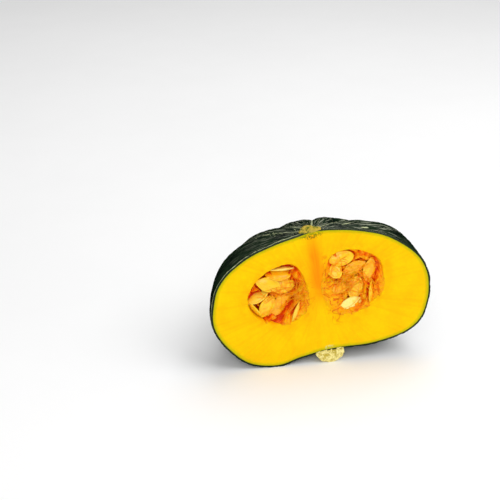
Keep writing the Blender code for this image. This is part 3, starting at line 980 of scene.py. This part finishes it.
def skin_look(settings):
    """Dark half-gloss rind: pale furrow lines and specks, green at the cut, painted sheen on top, painted
    highlight at the cut edge.
    """
    look, tree = new_look("dark_rind")
    place = fruit_space(tree)
    colour = blotches(tree, place, 0.013, settings.dark, settings.light)
    warp = grain(tree, place, 0.0035, 2.0)
    gap = times(tree, attribute(tree, "crease_gap"), times(tree, warp, 1.1), 'ADD')
    broken = ranged(tree, grain(tree, place, 0.012, 2.0), 0.34, 0.50, 0.5, 1.0)
    line = times(tree, ranged(tree, gap, 1.45, 0.85), broken)
    beside = ranged(tree, attribute(tree, "crease_gap"), 16.0, 2.0)
    speck_size = ranged(tree, grain(tree, place, 0.0021, 1.0, 0.4), 0.66, 0.71)
    specks = times(tree, times(tree, speck_size, beside), 0.75)
    colour = mixed(tree, times(tree, specks, 0.8), colour, settings.line)
    colour = mixed(tree, times(tree, line, 0.85), colour, settings.line)
    across, back, up = split(tree, place)
    along = attribute(tree, "streak", "Vector")
    sheen_streaks = clouds(tree, along, 1.0, 3.0)
    # Painted sheen: broken grey green streaks on top of the rind, stronger towards the right.
    sheen_on_top = times(tree, ranged(tree, up, 0.020, 0.042), ranged(tree, across, -0.060, 0.020, 0.22, 1.0))
    sheen_streaks = times(tree, ranged(tree, sheen_streaks, 0.51, 0.64), sheen_on_top)
    colour = mixed(tree, times(tree, sheen_streaks, 0.75), colour, settings.painted_sheen)
    for turn, share, width, length in DASHES:
        slope = math.radians(width) * math.sin(math.radians(turn))
        dash = near(tree, along, (math.cos(math.radians(turn)) * STREAK_COLUMNS, share * STREAK_ROWS),
                    (slope * STREAK_COLUMNS, length * STREAK_ROWS))
        colour = mixed(tree, dash, colour, settings.line)
    # Painted highlight: a pale line in the furrow line colour along the cut edge, on the left side only.
    painted_lip_highlight = times(tree, ranged(tree, back, 0.0002, 0.0006), ranged(tree, back, 0.0015, 0.0010))
    painted_lip_highlight = times(tree, times(tree, painted_lip_highlight, ranged(tree, across, 0.010, -0.015)),
                ranged(tree, grain(tree, place, 0.006, 2.0), 0.30, 0.48, 0.30, 0.95))
    colour = mixed(tree, painted_lip_highlight, colour, settings.line)
    cut = ranged(tree, attribute(tree, "depth"), 0.30, 0.95)
    colour = mixed(tree, cut, colour, settings.inner)
    facing = add_node(tree, "ShaderNodeLayerWeight").outputs["Facing"]
    cell = add_node(tree, "ShaderNodeTexVoronoi", {"Vector": place, "Scale": 1 / 0.0016},
                    feature='DISTANCE_TO_EDGE').outputs["Distance"]
    cells = relief(tree, ranged(tree, cell, 0.0, 0.25), 0.00010, 0.55)
    shade(tree, {
        "Base Color": colour, "Roughness": uneven(tree, place, 0.006, 0.24, 0.52, 4.0),
        "Specular IOR Level": 0.0,
        "Coat Weight": ranged(tree, facing, 0.38, 0.64, 0.26, 0.0), "Coat Roughness": 0.35,
        "Normal": relief(tree, grain(tree, place, 0.0011, 4.0, 0.65), 0.00018, 0.6, cells)})
    return look


def flesh_look(settings):
    """Moist yellow flesh: fibres, an orange core, a halo round the chambers, a green edge."""
    look, tree = new_look("yellow_flesh")
    place = fruit_space(tree)
    colour = blotches(tree, place, 0.017, settings.yellow, settings.deep)
    fibre = clouds(tree, attribute(tree, "fibre", "Vector"), 0.55, 4.0)
    colour = mixed(tree, times(tree, ranged(tree, fibre, 0.42, 0.72), 0.16), colour, settings.core)
    halo = times(tree, attribute(tree, "halo"), ranged(tree, grain(tree, place, 0.007), 0.25, 0.7))
    colour = mixed(tree, times(tree, halo, 0.42), colour, settings.core)
    core = times(tree, attribute(tree, "core"), ranged(tree, fibre, 0.2, 0.6, 0.75, 1.0))
    colour = mixed(tree, core, colour, settings.core)
    strokes = times(tree, thin_strokes(tree), attribute(tree, "torn"))
    colour = mixed(tree, times(tree, strokes, 0.9), colour, settings.stroke)
    specks = grain(tree, place, 0.0016, 2.0)
    under_scar = times(tree, near(tree, place, (-0.0014, 0.0502), (0.0115, 0.0048)),
                       ranged(tree, specks, 0.42, 0.56))
    colour = mixed(tree, times(tree, under_scar, 0.85), colour, settings.speck)
    over_stem = times(tree, near(tree, place, (0.0022, -0.0500), (0.0050, 0.0024)),
                      ranged(tree, specks, 0.46, 0.56))
    colour = mixed(tree, times(tree, over_stem, 0.8), colour, settings.fleck)
    wave = times(tree, grain(tree, place, 0.0028), 1.8)
    from_edge = times(tree, attribute(tree, "from_edge"), wave, 'SUBTRACT')
    edge = ranged(tree, from_edge, settings.green_width * 1000, -1.2)
    colour = mixed(tree, times(tree, edge, 0.85), colour, settings.green)
    fibres = relief(tree, fibre, 0.0004, 0.30)
    shade(tree, {
        "Base Color": colour, "Roughness": uneven(tree, place, 0.004, 0.34, 0.52),
        "Specular IOR Level": 0.04,
        "Subsurface Weight": 0.25, "Subsurface Radius": (1.0, 0.45, 0.08), "Subsurface Scale": 0.0035,
        "Normal": relief(tree, grain(tree, place, 0.0009), 0.00010, 0.35, fibres)})
    return look


def pulp_look(settings):
    """Wet pulp, amber where it is cut, going to deep red in its gaps, deep down and round the seeds: partly
    the pulp's own red, partly painted shade.
    """
    look, tree = new_look("wet_pulp")
    place = fruit_space(tree)
    height = times(tree, attribute(tree, "height"),
                   ranged(tree, grain(tree, place, 0.0018), 0.2, 0.8, -0.16, 0.16), 'ADD')
    merged = attribute(tree, "merged")
    # Colour follows the height value: deep red where low and deep, partly painted shade, amber on the raised
    # parts.
    colour = mixed(tree, ranged(tree, height, 0.08, 0.34), settings.deep, settings.orange)
    colour = mixed(tree, ranged(tree, height, 0.44, 0.92), colour, settings.amber)
    colour = mixed(tree, times(tree, merged, 0.95), colour, settings.edge)
    strokes = times(tree, thin_strokes(tree), attribute(tree, "torn"))
    colour = mixed(tree, times(tree, strokes, 0.95), colour, settings.deep)
    # Painted shade: a broken deep red ring round each seed.
    broken = ranged(tree, grain(tree, place, 0.004, 2.0), 0.30, 0.55)
    outline = times(tree, attribute(tree, "outline"), broken)
    colour = mixed(tree, times(tree, outline, 0.8), colour, settings.deep)
    threads = clouds(tree, place, 1 / 0.0014, 4.0, distortion=1.2)
    shade(tree, {
        "Base Color": colour, "Roughness": uneven(tree, place, 0.003, 0.22, 0.42),
        "Specular IOR Level": 0.10,
        "Subsurface Weight": 0.5, "Subsurface Radius": (1.0, 0.25, 0.05), "Subsurface Scale": 0.003,
        "Normal": relief(tree, threads, 0.00025, 0.4)})
    return look


def strand_look(settings):
    """Glossy strands between orange and amber."""
    look, tree = new_look("wet_strands")
    place = fruit_space(tree)
    shade(tree, {
        "Base Color": blotches(tree, place, 0.006, settings.orange, settings.amber),
        "Roughness": uneven(tree, place, 0.002, 0.20, 0.36), "Specular IOR Level": 0.16,
        "Subsurface Weight": 0.4, "Subsurface Radius": (1.0, 0.3, 0.05), "Subsurface Scale": 0.0015,
        "Normal": relief(tree, grain(tree, place, 0.0006), 0.00012, 0.5)})
    return look


def seed_look(settings):
    """Pale smooth seeds with patches of orange film."""
    look, tree = new_look("pale_seeds")
    place = fruit_space(tree)
    film = attribute(tree, "film")
    thick = times(tree, grain(tree, place, 0.0042), times(tree, film, 0.40), 'ADD')
    patch = ranged(tree, thick, 0.56, 0.80)
    wiped = times(tree, ranged(tree, film, 0.0, -1.0),
                  ranged(tree, grain(tree, place, 0.006, 2.0), 0.30, 0.55, 0.4, 1.0))
    colour = mixed(tree, wiped, mixed(tree, patch, settings.pale, settings.film), settings.white)
    shade(tree, {
        "Base Color": colour, "Roughness": uneven(tree, place, 0.003, 0.16, 0.30),
        "Specular IOR Level": 0.30, "Coat Weight": 0.18, "Coat Roughness": 0.12,
        "Subsurface Weight": 0.25, "Subsurface Radius": (1.0, 0.6, 0.2), "Subsurface Scale": 0.0015,
        "Normal": relief(tree, grain(tree, place, 0.0013), 0.00010, 0.4)})
    return look


def cork_look(name, ridge, pit):
    """Dry crumbly cork, darker in its pits: partly its own browner crevices, partly painted shade."""
    look, tree = new_look(name)
    place = fruit_space(tree)
    lump = times(tree, attribute(tree, "lump"),
                 ranged(tree, grain(tree, place, 0.0012), 0.2, 0.8, -0.3, 0.3), 'ADD')
    lump = times(tree, lump, uneven(tree, place, 0.0042, -0.22, 0.22, 2.0), 'ADD')
    shade(tree, {
        # Colour darkens towards the pits: partly the cork's own colour, partly painted shade.
        "Base Color": mixed(tree, ranged(tree, lump, 0.12, 0.72), pit, ridge),
        "Roughness": ranged(tree, lump, 0.0, 1.0, 0.95, 0.72), "Specular IOR Level": 0.25,
        "Normal": relief(tree, grain(tree, place, 0.0007, 4.0), 0.00022, 0.8)})
    return look


def floor_look(settings):
    """Plain pale floor with a trace of unevenness."""
    look, tree = new_look("pale_floor")
    place = add_node(tree, "ShaderNodeTexCoord").outputs["Object"]
    darker = [value * 0.985 for value in settings.floor]
    shade(tree, {
        "Base Color": blotches(tree, place, 0.30, settings.floor, darker),
        "Roughness": uneven(tree, place, 0.05, 0.78, 0.84), "Specular IOR Level": 0.1})
    return look


def add_piece(name, mesh, look, slot, *nodes):
    """Lays a mesh down on the floor as a finished piece that rides on the half.

    It stands for the CAD nodes that are named, if any.
    """
    bmesh.ops.transform(mesh, matrix=LIE, verts=mesh.verts)
    for vertex in mesh.verts:
        vertex.co.z = max(vertex.co.z, 0.0)
    data = mesh_data(name, mesh)
    data.shade_smooth()
    data.set_sharp_from_angle(angle=math.radians(SHARP_ANGLE))
    data.materials.append(look)
    piece = new_object(name, data)
    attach(piece, "root")
    if nodes:
        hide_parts(*nodes)
    return piece


class MakeSkin(bpy.types.Operator):
    """Build the warty ribbed rind of the half"""
    bl_idname = "half_pumpkin.make_skin"
    bl_label = "Rind"

    def execute(self, context):
        settings = context.scene.pumpkin_skin
        add_piece("ribbed_skin", skin_mesh(settings), skin_look(settings), "rind", "rind")
        return {'FINISHED'}


class MakeFlesh(bpy.types.Operator):
    """Build the flesh with its cut face and two seed chambers"""
    bl_idname = "half_pumpkin.make_flesh"
    bl_label = "Flesh"

    def execute(self, context):
        mesh = flesh_mesh(context.scene.pumpkin_skin.thickness)
        add_piece("cut_flesh", mesh, flesh_look(context.scene.pumpkin_flesh), "flesh", "flesh")
        return {'FINISHED'}


class MakePulp(bpy.types.Operator):
    """Build the wet pulp of both chambers"""
    bl_idname = "half_pumpkin.make_pulp"
    bl_label = "Pulp"

    def execute(self, context):
        look = pulp_look(context.scene.pumpkin_pulp)
        for chamber, seeds in CHAMBERS:
            add_piece(f"pulp_{chamber.name}", pulp_mesh(chamber, seeds), look, "pulp",
                      f"seed_pulp_{chamber.name}")
        return {'FINISHED'}


class MakeSeeds(bpy.types.Operator):
    """Build the seeds where they lie in the pulp"""
    bl_idname = "half_pumpkin.make_seeds"
    bl_label = "Seeds"

    def execute(self, context):
        settings = context.scene.pumpkin_seeds
        look = seed_look(settings)
        for chamber, seeds in CHAMBERS:
            mesh = joined([seed_mesh(seed, settings) for seed in seeds])
            add_piece(f"seeds_{chamber.name}", mesh, look, "pulp", f"seed_pulp_{chamber.name}")
        return {'FINISHED'}


class MakeStrands(bpy.types.Operator):
    """Build the loose strands that cross the pulp and seeds"""
    bl_idname = "half_pumpkin.make_strands"
    bl_label = "Strands"

    def execute(self, context):
        settings = context.scene.pumpkin_pulp
        look = strand_look(settings)
        for seed_value, (chamber, seeds) in enumerate(CHAMBERS, STRAND_RANDOM_START):
            below = [bpy.data.objects[f"{kind}_{chamber.name}"] for kind in ("pulp", "seeds")]
            mesh = strand_mesh(chamber, seeds, front_of(below), settings.strand, seed_value)
            add_piece(f"strands_{chamber.name}", mesh, look, "pulp")
        return {'FINISHED'}


class MakeCork(bpy.types.Operator):
    """Build the corky stem underneath and the scar on top"""
    bl_idname = "half_pumpkin.make_cork"
    bl_label = "Stem and scar"

    def execute(self, context):
        settings = context.scene.pumpkin_cork
        stem = cork_look("cream_cork", settings.cream, settings.tan)
        scar = cork_look("tan_cork", settings.scar, settings.pit)
        add_piece("corky_stem", cork_mesh(STEM, True, settings), stem, "cork", "stem")
        add_piece("corky_scar", cork_mesh(SCAR, False, settings), scar, "cork", "blossom_scar")
        return {'FINISHED'}


class MakeStage(bpy.types.Operator):
    """Set up the floor, the lights and the camera"""
    bl_idname = "half_pumpkin.make_stage"
    bl_label = "Stage"

    def execute(self, context):
        settings = context.scene.pumpkin_stage
        make_floor(settings)
        make_room_light(settings)
        make_lamp("key_light", (0.75, -0.50, 1.30), 1.1, settings.key)
        make_lamp("fill_light", (-0.35, -1.30, 0.80), 0.9, settings.fill)
        make_lamp("back_light", (0.30, 0.60, 1.35), 1.0, settings.back)
        make_camera(context.scene)
        context.scene.view_settings.view_transform = 'Standard'
        return {'FINISHED'}


def make_floor(settings):
    mesh = bmesh.new()
    bmesh.ops.create_grid(mesh, x_segments=1, y_segments=1, size=FLOOR_REACH)
    data = mesh_data("floor", mesh)
    data.materials.append(floor_look(settings))
    floor = new_object("floor", data)


def make_room_light(settings):
    """Soft white light from all round."""
    world = bpy.data.worlds.new("white_room")
    world.use_nodes = True
    background = world.node_tree.nodes["Background"]
    background.inputs["Color"].default_value = (1, 1, 1, 1)
    background.inputs["Strength"].default_value = settings.sky
    bpy.context.scene.world = world


def aim(thing, place, target):
    """Places a lamp or camera and points it at a target, kept level."""
    thing.location = place
    thing.rotation_euler = (Vector(target) - Vector(place)).to_track_quat('-Z', 'Y').to_euler()


def make_lamp(name, place, size, power):
    """A large square studio light aimed at the half."""
    data = bpy.data.lights.new(name, 'AREA')
    data.size = size
    data.energy = power
    aim(new_object(name, data), place, MIDDLE)


def make_camera(scene):
    data = bpy.data.cameras.new("camera")
    data.lens = CAMERA_LENS
    camera = new_object("camera", data)
    left, up = math.radians(CAMERA_LEFT), math.radians(CAMERA_UP)
    back = Vector((-math.sin(left) * math.cos(up), -math.cos(left) * math.cos(up), math.sin(up)))
    aim(camera, MIDDLE + back * CAMERA_DISTANCE, MIDDLE + CAMERA_AIM)
    scene.camera = camera


class PumpkinPanel(bpy.types.Panel):
    """Lists what builds the half pumpkin"""
    bl_idname = "VIEW3D_PT_half_pumpkin"
    bl_label = "Half Pumpkin"
    bl_space_type = 'VIEW_3D'
    bl_region_type = 'UI'
    bl_category = "Pumpkin"

    def draw(self, context):
        column = self.layout.column()
        for operator in OPERATORS:
            column.operator(operator.bl_idname)
        for name, kind in SETTINGS.items():
            column.label(text=kind.__doc__)
            for key in kind.__annotations__:
                column.prop(getattr(context.scene, name), key)


SETTINGS = {
    "pumpkin_skin": SkinSettings, "pumpkin_flesh": FleshSettings, "pumpkin_pulp": PulpSettings,
    "pumpkin_seeds": SeedSettings, "pumpkin_cork": CorkSettings, "pumpkin_stage": StageSettings,
}
OPERATORS = (MakeSkin, MakeFlesh, MakePulp, MakeSeeds, MakeStrands, MakeCork, MakeStage)


def register():
    for kind in (*SETTINGS.values(), *OPERATORS, PumpkinPanel):
        bpy.utils.register_class(kind)
    for name, kind in SETTINGS.items():
        setattr(bpy.types.Scene, name, bpy.props.PointerProperty(type=kind))


def unregister():
    for name in SETTINGS:
        delattr(bpy.types.Scene, name)
    for kind in reversed((*SETTINGS.values(), *OPERATORS, PumpkinPanel)):
        bpy.utils.unregister_class(kind)


def main():
    register()
    bpy.ops.half_pumpkin.make_skin()
    bpy.ops.half_pumpkin.make_flesh()
    bpy.ops.half_pumpkin.make_pulp()
    bpy.ops.half_pumpkin.make_seeds()
    bpy.ops.half_pumpkin.make_strands()
    bpy.ops.half_pumpkin.make_cork()
    bpy.ops.half_pumpkin.make_stage()


if __name__ == "__main__":
    main()
